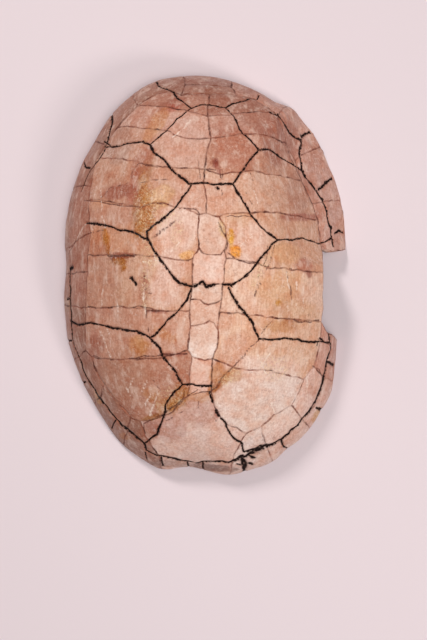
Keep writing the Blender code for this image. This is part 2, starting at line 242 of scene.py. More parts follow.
# %% Lines on the dome, in millimetres
SULCI = [
    # vertebral scutes, from the tail to the head
    (0.30, [(-22, 70.5), (-21, 68.5), (-15, 65.5), (-12.5, 62.5), (-8, 59.5), (-4, 61), (0.5, 61),
            (4.5, 60), (6.5, 62), (13, 65), (15.5, 65.5), (16.5, 67.5)]),
    (0.26, [(-8.5, 59.5), (-12, 55.5), (-17, 49.5), (-22, 44.5)]),
    (0.38, [(-22, 44.5), (-20, 41.5), (-16, 39), (-13.5, 36), (-10, 33), (-6.5, 31)]),
    (0.30, [(4.5, 60), (7.5, 57), (9, 54.5), (10, 52), (14, 48), (17, 45)]),
    (0.30, [(17, 45), (14, 40.5), (11, 36), (8.5, 31.5)]),
    (0.36, [(-6.5, 31), (-1.5, 31.5), (1, 31), (5.5, 31.5), (8.5, 31.5)]),
    (0.34, [(-6, 30.5), (-8.5, 26), (-11, 22), (-16, 17), (-20.5, 13), (-20, 10)]),
    (0.40, [(-20, 10), (-17.5, 6), (-15, 3), (-12.5, 0), (-8, -4.5), (-3, -5.5)]),
    (0.46, [(-3, -5.5), (0, -3.5), (1.5, -5.5), (5, -4), (10.5, -4)]),
    (0.34, [(8.5, 31.5), (10, 29), (13, 25), (16, 20.5), (19, 17.5), (21, 15.5), (25.5, 13)]),
    (0.36, [(25.5, 13), (23.5, 11), (22.5, 9), (19.5, 5.5), (17, 1.5), (13.5, -2), (10.5, -4)]),
    (0.30, [(-4, -6.5), (-5, -10), (-8, -14.5), (-12, -18.5), (-15.5, -23), (-17.5, -24.5)]),
    (0.36, [(-17.5, -24.5), (-13.5, -28), (-12.5, -30.5), (-7.5, -36), (-5, -40.5)]),
    (0.42, [(9.5, -5), (10, -6.5), (13.5, -11.5), (16.5, -14.5), (18.5, -17), (21, -22.5)]),
    (0.42, [(-5, -40.5), (-1, -40), (2, -40.5), (5, -40)]),
    (0.36, [(-5, -40.5), (-8.5, -44), (-10.5, -48), (-11.5, -53.5), (-13.5, -59.5), (-16, -62),
            (-18, -63.5)]),
    (0.38, [(5, -42), (6, -46), (8.5, -51), (11, -53.5), (13, -58), (17.5, -61), (18.5, -64.5)]),
    # pleural scutes, right then left
    (0.32, [(-39, 44), (-33, 44.5), (-25, 46), (-22, 44.5)]),
    (0.38, [(-43.5, 15.5), (-36.5, 15), (-31.5, 13.5), (-25, 12.5), (-20, 10)]),
    (0.40, [(-48.5, -20), (-45.5, -21.5), (-40, -20.5), (-32.5, -21.5), (-28, -22), (-22, -22.5),
            (-17.5, -24.5)]),
    (0.34, [(17, 45), (21, 46), (25, 44.5), (31, 42), (34.5, 40.5)]),
    (0.28, [(25.5, 13), (32, 14), (35, 15), (38, 14.5), (42, 14), (47, 16.5)]),
    (0.34, [(21, -22.5), (25, -22.5), (32.5, -21.5), (40, -22.5), (48, -22)]),
    # the ring of marginal scutes, right then left
    (0.46, [(-37, 60.5), (-38, 57.5), (-37, 54.5), (-38, 48), (-39.5, 42.5)]),
    (0.34, [(-39.5, 42.5), (-42.5, 37.5), (-45.5, 32), (-46.5, 28)]),
    (0.58, [(-48.5, -0.5), (-50, -1), (-49.5, -5), (-48.5, -12.5), (-48, -23), (-46.5, -29),
            (-44, -34.5), (-40.5, -41.5), (-34.5, -49.5), (-29.5, -54.5), (-24.5, -59), (-18, -63.5)]),
    (0.52, [(-18, -63.5), (-17.5, -66), (-15.5, -67), (-12, -68), (-8, -68.5), (-3.5, -69.5),
            (1.5, -70), (6.5, -69), (14, -68.5), (18.5, -66)]),
    (0.66, [(18.5, -64.5), (23, -63.5), (24.5, -62), (28.5, -61.5), (32.5, -59.5), (36, -55.5),
            (38, -54), (40.5, -50.5), (43.5, -46.5), (46, -39.5), (47, -35), (47.5, -29),
            (48.5, -25), (47.5, -19)]),
    (0.44, [(20.5, 60), (23.5, 60), (25.5, 57.5), (28.5, 54.5), (31, 53), (33.5, 52.5), (33, 46.5),
            (34, 41), (35, 38.5), (39, 34.5), (42.5, 30.5), (44, 26), (46, 20.5), (47.5, 13.5)]),
    # short grooves between two marginal scutes
    (0.46, [(33.5, 54), (36.5, 56)]), (0.50, [(41, 34.5), (42.5, 36), (46, 39.5)]),
    (0.36, [(48, 18.5), (49.5, 19.5), (51.5, 19)]), (0.46, [(47.5, -29.5), (51, -30.5)]),
    (0.46, [(45, -47), (47.5, -48)]), (0.36, [(32.5, -59.5), (34, -62), (35.5, -63.5)]),
    (0.46, [(18.5, -67), (19.5, -72.5)]), (0.32, [(-17.5, -67), (-17, -70)]),
    (0.32, [(-11.5, -68.5), (-11, -72)]), (0.32, [(-2, -70), (-1, -73)]), (0.32, [(4, -70), (4, -73)]),
    (0.30, [(-29, -55.5), (-31, -59.5)]), (0.34, [(-41.5, -42.5), (-45, -44.5)]),
    (0.34, [(-47.5, -27.5), (-49.5, -28)]), (0.34, [(-49, -12), (-50.5, -12.5)]),
    (0.34, [(-39.5, 46.5), (-37, 44.5)]), (0.34, [(-47.5, 39.5), (-46, 37), (-44, 36.5)]),
    # the smear of black earth where the first vertebral meets the rim, a hole and a black speck
    (1.15, [(15.5, -67.8), (19, -66.3), (22, -64.8), (25.3, -62.6)]),
    (0.55, [(18.7, -67), (20, -69), (19.6, -71)]), (0.45, [(21, -66), (23, -67)]),
    (0.40, [(21.5, -69), (22.5, -69.8)]), (0.40, [(16.5, -69.3), (17.8, -69.8)]),
    (0.60, [(-25.2, -3.8), (-23.4, -5.7)]), (0.42, [(3, 30), (3.4, 29.7)]),
    # where the left pleural sulcus steps up at the broken rim
    (0.36, [(43, -23.5), (43.5, -21), (45.5, -22), (47.5, -22.5)]),
]
CRACKS = [
    (0.52, [(-11, 17), (-13.5, 15), (-16, 12.5), (-18.5, 11)]), (0.40, [(-17.5, 23), (-14, 23)]),
    (0.34, [(-9.5, 21.5), (-7, 22), (-4, 21.5), (-2, 20), (0, 20.5)]),
    (0.34, [(-38.5, -32.5), (-33.5, -33), (-26, -33), (-19, -31), (-13.5, -30.5)]),
    (0.32, [(-41, -14.5), (-32.5, -14.5), (-21.5, -13.5), (-14.5, -14.5)]),
    (0.26, [(-45, 24), (-39, 23.5), (-31, 22), (-25.5, 21.5)]),
    (0.34, [(17, 4.5), (20.5, 3.5), (25, 3), (30.5, 3), (34.5, 3)]), (0.30, [(22, 11), (22, 6.5), (21, 4)]),
    (0.30, [(20, 2), (18.5, -2.5)]), (0.28, [(-19.5, -14.5), (-18, -21.5)]),
    (0.30, [(-38.5, -34.5), (-37, -38), (-33.5, -42.5), (-35, -47.5)]),
    (0.36, [(-18.5, -56), (-13, -53), (-8, -50.5), (-4, -45.5), (0.5, -41.5)]),
    (0.30, [(-18.5, -57.5), (-18, -59.5)]), (0.26, [(-12, 36.5), (-3.5, 36.5), (2, 36.5)]),
    (0.30, [(4.5, 17.5), (6, 14.5), (7.5, 12.5), (8, 9), (7, 7.5)]),
    (0.36, [(8, 7), (12.5, 4.5), (16.5, 4), (19, 3.5)]),
    (0.42, [(26.5, -14.5), (32, -14.5), (36.5, -15.5), (40, -15), (43, -14.5)]),
    (0.30, [(18.5, -7.5), (19.5, -5), (20.5, -2.5)]), (0.30, [(31, -2), (31.5, -5.5), (32, -8)]),
    (0.30, [(42, -31), (44.5, -32.5), (46, -35)]), (0.30, [(3.5, 36.5), (4.5, 33)]),
    (0.26, [(-51, 4.5), (-47.5, 9.5), (-42.5, 12), (-36.5, 13)]),
    (0.42, [(21, -22.5), (17.5, -26), (16, -28.5), (13, -32.5), (9.5, -36), (7, -40.5), (5, -42.5)]),
    (0.22, [(-38.5, 25), (-35, 28.5), (-31.5, 29.5), (-29, 30)]),
    (0.22, [(-28, 31.5), (-27.5, 34.5), (-25.5, 37.5), (-18.5, 36)]),
    (0.22, [(-24.5, 30), (-20, 31.5), (-14.5, 32)]), (0.22, [(-20.5, -2.5), (-19.5, -8), (-16.5, -9.5)]),
    (0.22, [(-19, -14.5), (-18.5, -20), (-17.5, -23.5)]), (0.22, [(-16.5, -38.5), (-12.5, -43)]),
    (0.22, [(-18.5, -56), (-18, -59.5)]), (0.20, [(1, -46), (1.5, -50)]), (0.24, [(6, -50.5), (8, -53)]),
    (0.24, [(-10.5, -54), (-6.5, -51.5), (-3.5, -50)]),
    (0.20, [(-4.5, -41.5), (-4, -44), (-5.5, -47.5), (-10.5, -49.5)]), (0.22, [(-4, 39.5), (-3, 33)]),
    (0.24, [(0.5, 41), (2, 40), (4.5, 36.5), (5, 33)]), (0.20, [(5, 29), (5.5, 26.5)]),
    (0.20, [(13.5, 29), (15.5, 25)]), (0.20, [(14.5, 36), (15.5, 33.5)]), (0.22, [(7, 20), (15.5, 20.5)]),
    (0.24, [(24.5, 11), (23.5, 5.5), (19.5, -4.5), (18.5, -7.5)]), (0.26, [(29.5, 2), (31.5, -3.5)]),
    (0.24, [(25.5, -15.5), (21.5, -20.5)]), (0.22, [(50, 18), (51, 16)]),
    (0.44, [(-35.5, 4), (-24.5, 4)]), (0.40, [(-18, -15), (-12.5, -14.5)]),
    (0.44, [(-13.5, -30), (-4, -29)]),
    # the crease where the left costals meet the flared rim
    (0.34, [(23.5, 58.5), (26.5, 53), (27.5, 49), (29.5, 44.5), (34, 36.5), (36, 32), (38.5, 28),
            (41, 22.5), (42, 15.5)]),
]
# Pale scratches and the edges of flakes.
SCRATCHES = [
    (0.30, [(-39, 28), (-37.5, 18.5), (-36, 14)]), (0.26, [(-47.5, 9.5), (-45, 14), (-43, 16)]),
    (0.32, [(-35.5, -23.5), (-33.5, -28), (-31.5, -32)]), (0.28, [(-33, -22.5), (-31.5, -28)]),
    (0.32, [(-25.5, -42), (-23.5, -45.5)]), (0.32, [(-22.5, -39), (-24.5, -44.5)]),
    (0.30, [(-19.5, -43.5), (-17.5, -39.5)]), (0.32, [(-18, -49), (-16, -44.5)]),
    (0.32, [(-16, -52.5), (-14, -45)]), (0.30, [(-14, 47.5), (-9.5, 51.5), (-8, 54.5)]),
    (0.36, [(29.5, 2), (30.5, -2.5), (31.5, -4.5)]), (0.34, [(21, -28), (24.5, -34.5)]),
    (0.34, [(25.5, -27), (23, -31.5)]), (0.30, [(40, -33.5), (41, -44)]),
    (0.26, [(26.5, -44), (29.5, -49.5)]), (0.24, [(-21, -6), (-20, -12), (-19.5, -18)]),
    (0.28, [(-18.5, 8.5), (-16.5, 2.5)]), (0.34, [(21.5, 61), (23, 58.5)]),
    (0.28, [(-15.5, 3), (-19, 2.5), (-21.5, 2)]), (0.24, [(16, 30), (18, 25)]),
    (0.26, [(12.5, 10), (17, 14)]), (0.26, [(-12, 6), (-9, 10)]), (0.28, [(36, -2), (36.5, -12)]),
    (0.26, [(33.5, -1), (34, -10)]), (0.24, [(-30, -8), (-29.5, -17)]), (0.24, [(-36, -6), (-35.5, -14)]),
]
LINE_STEP = 0.15
WOBBLE = 0.28                # mm that a line strays from its points

dome_points = []
dome_facets = []
for points, skin in skins.values():
    dome_facets.append(skin + sum(len(part) for part in dome_points))
    dome_points.append(points)
dome_points = np.concatenate(dome_points)
dome_facets = np.concatenate(dome_facets)
dome_tree = BVHTree.FromPolygons(dome_points.tolist(), dome_facets.tolist())


def rows_on_dome(lines, seed):
    """Closely spaced points on the dome along every line, with the half width at each."""
    rows = []
    widths = []
    for half_width, outline in lines:
        for (x0, y0), (x1, y1) in zip(outline, outline[1:]):
            steps = max(2, round(math.hypot(x1 - x0, y1 - y0) / LINE_STEP))
            for step in range(steps + 1):
                share = step / steps
                rows.append((x0 + (x1 - x0) * share, y0 + (y1 - y0) * share, 0.0))
                widths.append(half_width)
    rows = np.array(rows)
    stray = np.stack([noise(rows, 2.2, seed), noise(rows, 2.2, seed + 1), np.zeros(len(rows))], axis=1)
    rows += WOBBLE * stray
    fullness = 0.92 + 0.30 * noise(rows, 1.5, seed + 2) + 0.14 * noise(rows, 5.0, seed + 3)
    widths = np.array(widths) * fullness
    kept = []
    for index, (x, y, _) in enumerate(rows):
        hit = dome_tree.ray_cast((x, y, 100.0), (0, 0, -1))[0]
        if hit is not None:
            rows[index, 2] = hit.z
            kept.append(index)
    return rows[kept], widths[kept]


sulcus_rows, sulcus_widths = rows_on_dome(SULCI, 11)
crack_rows, crack_widths = rows_on_dome(CRACKS, 21)
sulcus_tree = tree_of(sulcus_rows)
crack_tree = tree_of(crack_rows)
scratch_rows, scratch_widths = rows_on_dome(SCRATCHES, 71)
scratch_tree = tree_of(scratch_rows)
print("points along the sulci:", len(sulcus_rows), "along the cracks:", len(crack_rows))

# %% [markdown]
# ## Cutting the skin fine enough to carve
#
# Carving needs small faces, but only on the outside, and smallest beside a groove. So each bone's
# outer faces are selected by their normal and subdivided, and the ones near a sulcus or a bone's
# edge are subdivided again. Cutting everything equally fine would need millions of faces.

# %% Subdivide the outer skin
BASE_CUTS = 8
REFINE_REACH = [(1.6, 1.1), (1.0, 0.5)]     # mm from a sulcus, then from the bone's edge, for each pass


def face_arrays(mesh):
    """Every polygon's middle in millimetres, its normal, and whether it is part of the outer skin."""
    middles = np.empty(len(mesh.polygons) * 3)
    normals = np.empty(len(mesh.polygons) * 3)
    mesh.polygons.foreach_get("center", middles)
    mesh.polygons.foreach_get("normal", normals)
    middles = middles.reshape(-1, 3) / MM
    normals = normals.reshape(-1, 3)
    return middles, normals, (normals * outwards(middles)).sum(axis=1) > OUTER_LEAN


def subdivide_faces(bone, chosen, cuts):
    """Subdivide the chosen faces in edit mode."""
    pick(bone)
    mesh = bone.data
    bpy.context.tool_settings.mesh_select_mode = (False, False, True)
    mesh.vertices.foreach_set("select", np.zeros(len(mesh.vertices), dtype=bool))
    mesh.edges.foreach_set("select", np.zeros(len(mesh.edges), dtype=bool))
    mesh.polygons.foreach_set("select", chosen)
    bpy.ops.object.mode_set(mode="EDIT")
    bpy.ops.mesh.subdivide(number_cuts=cuts)
    bpy.ops.mesh.select_all(action="SELECT")
    bpy.ops.mesh.quads_convert_to_tris(quad_method="BEAUTY", ngon_method="BEAUTY")
    bpy.ops.mesh.select_all(action="DESELECT")
    bpy.ops.object.mode_set(mode="OBJECT")


def distances(tree, points):
    """The nearest row of a tree for every point, and how far away it is."""
    found = [tree.find(point)[1:] for point in points]
    return np.array([item[0] for item in found]), np.array([item[1] for item in found])


def skin_edge_rows(mesh, outer):
    """Points along the edges between the outer skin and the bone's walls, and the walls' normals."""
    owners = {}
    for polygon in mesh.polygons:
        for key in polygon.edge_keys:
            owners.setdefault(key, []).append(polygon.index)
    rim_rows = []
    suture_rows = []
    for (start, end), faces in owners.items():
        if len(faces) == 2 and outer[faces[0]] != outer[faces[1]]:
            wall = faces[1] if outer[faces[0]] else faces[0]
            down = mesh.polygons[wall].normal.z < -0.8
            first = np.array(mesh.vertices[start].co) / MM
            last = np.array(mesh.vertices[end].co) / MM
            steps = max(1, math.ceil(np.linalg.norm(last - first) / 0.12))
            for step in range(steps + 1):
                (rim_rows if down else suture_rows).append(first + (last - first) * step / steps)
    return np.array(suture_rows), np.array(rim_rows).reshape(-1, 3)


edges = {}
for node, bone in bones.items():
    outer = face_arrays(bone.data)[2]
    subdivide_faces(bone, outer, BASE_CUTS)
    edges[node] = skin_edge_rows(bone.data, face_arrays(bone.data)[2])
    suture_tree = tree_of(edges[node][0])
    for sulcus_reach, edge_reach in REFINE_REACH:
        middles, _, outer = face_arrays(bone.data)
        near = distances(sulcus_tree, middles)[1] < sulcus_reach
        near |= distances(suture_tree, middles)[1] < edge_reach
        if (near & outer).any():
            subdivide_faces(bone, near & outer, 1)
print("triangles:", sum(len(bone.data.polygons) for bone in bones.values()),
      "most in one bone:", max(len(bone.data.polygons) for bone in bones.values()))

# %% [markdown]
# ## Colours of the bone
#
# Dry bone runs from pinkish cream, where a scute kept it clean and smooth, to pinkish brown, where
# blood vessels and earth have stained it. Amber glue has run out of some of the mended sutures. The
# colours could sit in an image, but here each bone gets a colour of its own and soft-edged patches
# are laid over it, each with its place, half sizes and turn in millimetres and degrees.

# %% Bone colours and patches


def linear(hex_colour):
    """An sRGB hex colour as linear red, green and blue."""
    values = [int(hex_colour[i:i + 2], 16) / 255.0 for i in (1, 3, 5)]
    return np.array([v / 12.92 if v <= 0.04045 else ((v + 0.055) / 1.055) ** 2.4 for v in values])


BONE_GROUND = {
    "nuchal": "#f7dcd1", "neural_1": "#f4cdbc", "neural_2": "#fdece3", "neural_3": "#eac3b1",
    "neural_4": "#f0d8ca", "neural_5": "#f0cfc0", "neural_6": "#e9c6b4",
    "suprapygal": "#c09a8b", "pygal": "#b58f84",
    "costal_right_1": "#c99680", "costal_right_2": "#d8a892", "costal_right_3": "#deb298",
    "costal_right_4": "#e1b093", "costal_right_5": "#dbaf98", "costal_right_6": "#deb6a3",
    "costal_right_7": "#d8aa98", "costal_right_8": "#c4927f",
    "costal_left_1": "#fbe6dc", "costal_left_2": "#f0caaf", "costal_left_3": "#f2d0ba",
    "costal_left_4": "#e6bca1", "costal_left_5": "#e4bca5", "costal_left_6": "#d4a690",
    "costal_left_7": "#c19180", "costal_left_8": "#b68472",
    "peripheral_right": "#ae806c", "peripheral_left": "#dfae9c", "peripheral_left_1": "#ffeee6",
    "peripheral_left_2": "#ffe6da", "peripheral_left_3": "#f8dace",
}
INSIDE_GROUND = "#cfa892"
RIM_GREY = "#ccaca4"         # the flanks grow greyer towards the rim
RIM_GREY_STRENGTH = 0.55

# Each patch: colour, strength, then its middle, half sizes and turn.
PATCHES = [
    # reddish and grey fields of the right costals
    ("#bd6c52", 0.80, -24.8, 31, 3.0, 9.0, -14), ("#cf9480", 0.50, -32.5, 27, 6.5, 3.2, 8),
    ("#d6aa9a", 0.55, -33, 18.5, 9, 4, 6), ("#d0855a", 0.60, -39.5, 8.5, 3, 5, 10),
    ("#b5804c", 0.60, -22.8, 34, 2.4, 6.5, -14), ("#a9683c", 0.55, -25, 22, 1.2, 7, -4),
    ("#c47a66", 0.45, -38, -29, 2.6, 6, -10), ("#dda567", 0.55, -21.5, -27.5, 3.4, 3.6, 0),
    ("#cfa898", 0.45, -33, -37, 7, 5, 40), ("#d9ab95", 0.50, -22, -11, 2.6, 9, 0),
    ("#b98067", 0.75, -16, -58, 4.0, 4.0, 0), ("#bd8872", 0.60, -25, -53, 6, 5, 40),
    ("#bb8a76", 0.50, -36, -44, 4, 8, 20), ("#a8674f", 0.45, -37.5, -28.5, 4, 4, 0),
    # clean, smooth bone inside the third and second vertebral scutes
    ("#f4d6c8", 0.85, -9.5, 14, 7.5, 9.5, -20), ("#f2d2c3", 0.80, 14, 10, 8.5, 9, 20),
    ("#f0cfc0", 0.80, -11.5, 1.5, 6.5, 5, -30), ("#e8c0ab", 0.70, 0, -16, 11, 9, 0),
    ("#f0cdbe", 0.85, -13, -7.5, 6.0, 7.0, 20), ("#e6bcaa", 0.50, -2, 27, 12, 6, 0),
    ("#e4bdae", 0.65, -10, 47, 9, 10, 20), ("#e2b9a9", 0.50, 1, 54, 10, 4, 0),
    # the broad clean plate of the first left costal, and around it
    ("#fce9df", 0.90, 26, -42, 13, 12, 25), ("#f9e0d4", 0.75, 24, -32, 12, 4, 0),
    ("#e3b19a", 0.60, 12, -29, 5, 8, -20),
    # darker, pinker bone
    ("#bf7f69", 0.65, 9, 45, 8, 9, 25), ("#8a3020", 0.85, 2, 39, 1.2, 1.9, 0),
    ("#a04a38", 0.60, 3.2, 36.4, 0.8, 2.0, 20), ("#a4604b", 0.60, -15, 60.5, 6, 2, 20),
    ("#b5503c", 0.50, -15.5, 59, 4, 1.6, 15), ("#bb6a58", 0.55, 36, 5, 3.6, 3, 0),
    ("#a8624d", 0.70, -31, 27.2, 8, 2.6, 10),
    ("#c48c78", 0.60, -45.5, 10, 4, 26, 0), ("#c99583", 0.45, -38, -6, 9, 12, 0),
    ("#c89880", 0.55, -26, -39, 10, 9, 30), ("#b67f6f", 0.60, 25, 50, 9, 9, 0),
    ("#b58170", 0.45, 33, 32, 6, 9, 0), ("#b3695a", 0.65, 34, 22.5, 8, 1.4, 10),
    ("#bc8175", 0.50, -10, -56, 8, 6, 0), ("#c59083", 0.45, 2, -50, 7, 5, 0),
    ("#a85a48", 0.50, 7.6, -50.5, 0.7, 1.9, 30), ("#94483a", 0.70, 38, 2, 1.1, 1.5, 0),
    ("#9b4c3c", 0.60, -30, 4.6, 6, 0.8, 0), ("#a55646", 0.55, -15.5, -14.9, 4, 0.8, 0),
    ("#a55646", 0.50, -9, -29.6, 5, 0.8, 5), ("#a87a6c", 0.45, -4, 68, 20, 4, 0),
    ("#b08a7c", 0.45, -35, 46, 7, 8, 30), ("#ad6c58", 0.50, -20.5, -7, 1.8, 7, 5),
    # warm orange stains
    ("#d79a62", 0.60, -20.5, 52.5, 2.8, 7.5, -28), ("#b9735a", 0.60, -24.5, 38, 3.6, 7.5, -25),
    ("#eabd92", 0.65, 27, -3, 9, 6, 10), ("#e3ba92", 0.50, 32, -12, 10, 5, 0),
    ("#cf9157", 0.65, 29, -17.5, 6, 2.2, 0), ("#eebf90", 0.60, 28.5, 8.5, 6, 4, 0),
    ("#c9864f", 0.65, -20, -28, 3.5, 2.4, 20), ("#c9823f", 0.55, -12, -23, 5, 1.8, -20),
    ("#cf8742", 0.75, 6.8, -35, 2.6, 4.6, -10), ("#b57634", 0.65, -4.5, -42.8, 2.8, 2.2, 30),
    ("#cf8c4e", 0.60, 1.5, -44.2, 6.0, 2.0, 6),
    ("#bf7534", 0.75, 8.5, -38.5, 5.5, 1.8, 42), ("#d19358", 0.60, 12, -36, 4, 3, 30),
    ("#c07f3e", 0.65, -9.5, -48.5, 5.5, 3.2, 25), ("#bb7a3c", 0.60, -5.5, -43.5, 2.2, 4.5, 0),
    ("#c98c55", 0.50, -15.5, -44.5, 3.5, 3, 0), ("#c07a3e", 0.60, -25.5, -61.5, 2.2, 1.6, 0),
    ("#d5aa72", 0.60, 45.5, -49.5, 1.4, 3.2, -25), ("#c98f4c", 0.80, 27, -9, 0.9, 0.7, 0),
    ("#d6a070", 0.40, 12, 19, 4, 3, 0),
    # pale, bruised and grey bits of the rim, and one painted highlight: the small pale spot at 23.6, -31 on
    # the first left costal
    ("#c7b39c", 0.60, -50.5, -15, 1.4, 3, 0), ("#f3e3dc", 0.80, 23.6, -31, 1.1, 0.9, 0),
    ("#f0dcd6", 0.70, -21.5, 43.8, 1.4, 0.9, 20), ("#eed4cf", 0.60, 33, 42.5, 0.9, 0.9, 0),
    ("#79584f", 0.70, 7.5, -71.5, 9.0, 1.6, 0), ("#9a8279", 0.45, -8, -71, 8, 1.6, 0),
    ("#c9a9a6", 0.45, -50.5, -26, 2, 14, 0), ("#d8b9b4", 0.50, 49.5, -27, 1.6, 5, 0),
]
# Glue: colour, strength, middle, half sizes, turn and how thick it stands.
GLUE = [
    ("#bd7620", 0.85, -21.8, 18.5, 3.8, 7.6, -12, 0.30), ("#c27c22", 0.80, -22.4, 28, 2.6, 6.0, 12, 0.15),
    ("#d6a458", 0.60, -16.5, 25.5, 4.2, 4.0, 20, 0.08), ("#ca7c0c", 0.95, -35.8, 10.8, 1.3, 3.2, 18, 0.35),
    ("#bd6a0e", 0.95, -34.2, 6.4, 1.4, 2.8, 18, 0.35), ("#953c08", 0.95, -29.8, 3.6, 4.4, 1.1, 8, 0.30),
    ("#b06810", 0.92, -30.2, 2.0, 3.2, 1.3, 4, 0.20), ("#b87010", 0.95, -28.2, 0.4, 1.1, 2.0, 0, 0.25),
    ("#f7a30a", 1.00, 10.8, 7.6, 1.9, 2.6, 15, 0.30), ("#f0b41a", 0.95, 9.0, 12.6, 1.2, 3.4, 6, 0.18),
    ("#dcb46a", 0.60, 5.8, 15.4, 1.2, 3.0, 20, 0.06), ("#f3ba6c", 0.80, -6.0, 5.4, 2.4, 1.5, 10, 0.12),
    ("#b96a0e", 0.90, 6.8, -40.4, 3.6, 1.2, 48, 0.22), ("#b8741c", 0.85, -6.6, -47.6, 4.6, 1.8, 35, 0.12),
    ("#ae6e1e", 0.80, -15, -53, 4.2, 1.1, 20, 0.08),
    ("#c9903a", 0.70, -36.5, -48, 1.1, 2.8, 25, 0.12), ("#d99a2e", 0.80, 27.2, -9.2, 1.0, 1.1, 0, 0.10),
    ("#b9681a", 0.70, 33.5, -15, 3.0, 0.8, 0, 0.10),
]
# Places where grains of dried glue stand up, with a painted highlight for their glints: middle, half sizes
# and turn.
GRAIN_AND_GLINT = [
    (-19.5, 5, 3.2, 6, 10), (-20, -6, 1.8, 9, 0), (-15, 17.5, 5, 1.8, 38), (-21.5, 22, 4.5, 9, -5),
    (12, -36.5, 5, 2.4, 45), (-10, 13, 2, 6, 0), (20, 2, 1.6, 7, -25), (-10, -46, 6, 4, 30),
    (27, -32, 6, 5, 0),
]


def patch_weight(points, x, y, half_x, half_y, turn):
    """1 in the middle of a soft-edged, ragged patch seen from above, 0 away from it."""
    weight = np.zeros(len(points))
    near = np.hypot(points[:, 0] - x, points[:, 1] - y) < 1.7 * max(half_x, half_y)
    if near.any():
        angle = math.radians(turn)
        across = points[near, 0] - x
        along = points[near, 1] - y
        local_x = across * math.cos(angle) + along * math.sin(angle)
        local_y = along * math.cos(angle) - across * math.sin(angle)
        reach = np.hypot(local_x / half_x, local_y / half_y)
        reach += 0.25 * noise(points[near], min(half_x, half_y) * 0.9 + 0.4, 31)
        reach += 0.12 * noise(points[near], 0.8, 32)
        weight[near] = smooth_step(1.25, 0.70, reach)
    return weight


def ground_colour(node):
    """The colour of a bone, from its own name or else from its kind and side."""
    return linear(BONE_GROUND.get(node) or BONE_GROUND[node.rsplit("_", 1)[0]])


print("patches:", len(PATCHES), "spots of glue:", len(GLUE))

# %% [markdown]
# ## Carving the bones
#
# Now every bone is carved in one pass. Its skin is bulged out to the smooth dome, and its edges grow
# until only a hairline is left at the suture, because sutures in dry bone are cracks and not gaps.
# All points stray a little, together, so the sutures wander as real ones do. Then the surface is
# raised by soft bumps and lowered at the sutures, cracks and sulci. At the rim it keeps its height,
# so that the underside stays flat. The same distances are kept as attributes on the mesh, for the
# materials to colour the lines with.

# %% Carve one bone
EDGE_GROWTH = 0.130          # mm that each wall moves out, of a 0.3 mm gap shared by two bones
SUTURE_STRAY = 0.38
SULCUS_DEPTH = 0.42
SUTURE_DEPTH = 0.08
CRACK_DEPTH = 0.10
SUTURE_GROOVE = 0.30         # mm from the suture over which its groove and then its colour fade
SUTURE_STAIN = 0.26
GROOVE_FALL = 0.55           # how fast a line fades, where 1 is at its half width
SULCUS_STAIN_FALL = 0.35
CRACK_STAIN_FALL = 0.9
LIP_HEIGHT = 0.06            # a low swelling beside each sulcus
LIP_REACH = 2.6              # half widths from its middle
GLUE_FILLING = 0.6           # how much of a sulcus is filled where glue covers it
BUMPS = [(0.20, 11.0, 51), (0.09, 4.0, 52), (0.035, 1.5, 53)]   # mm high, mm across, seed
BONE_STEP = 0.07             # mm that a bone can stand above or below its neighbours
RIM_WEAR = 0.40
RIM_WEAR_CHANGE = 0.25
RIM_ROUNDING = 1.3           # mm from the rim's edge over which it is worn round
RIM_HEIGHT = 4.0             # mm: a face below this that looks down is the rim's flat underside


def wall_growth(points, triangles, lean, normals):
    """How far each corner of a side wall moves out of the bone."""
    side = (np.abs(lean) < OUTER_LEAN) & (normals[:, 2] > -0.8)
    push = np.zeros_like(points)
    a, b, c = (points[triangles[side][:, i]] for i in range(3))
    weighted = np.cross(b - a, c - a)
    for i in range(3):
        np.add.at(push, triangles[side][:, i], weighted)
    touched = np.linalg.norm(push, axis=1) > 1e-9
    push[touched] = unit(push[touched]) * EDGE_GROWTH
    return push


def line_depth(tree, rows, widths, points, normals):
    """1 in the middle of the nearest line, falling to 0, and the distance in half widths."""
    index, _ = distances(tree, points)
    offset = points - rows[index]
    offset -= (offset * normals).sum(axis=1, keepdims=True) * normals
    reach = np.linalg.norm(offset, axis=1) / np.maximum(widths[index], 0.08)
    return np.exp(-GROOVE_FALL * reach ** 2), reach


def store(mesh, name, values):
    """Keep one number per corner as a mesh attribute."""
    layer = mesh.attributes.new(name, "FLOAT", "POINT")
    layer.data.foreach_set("value", values.astype(np.float32))


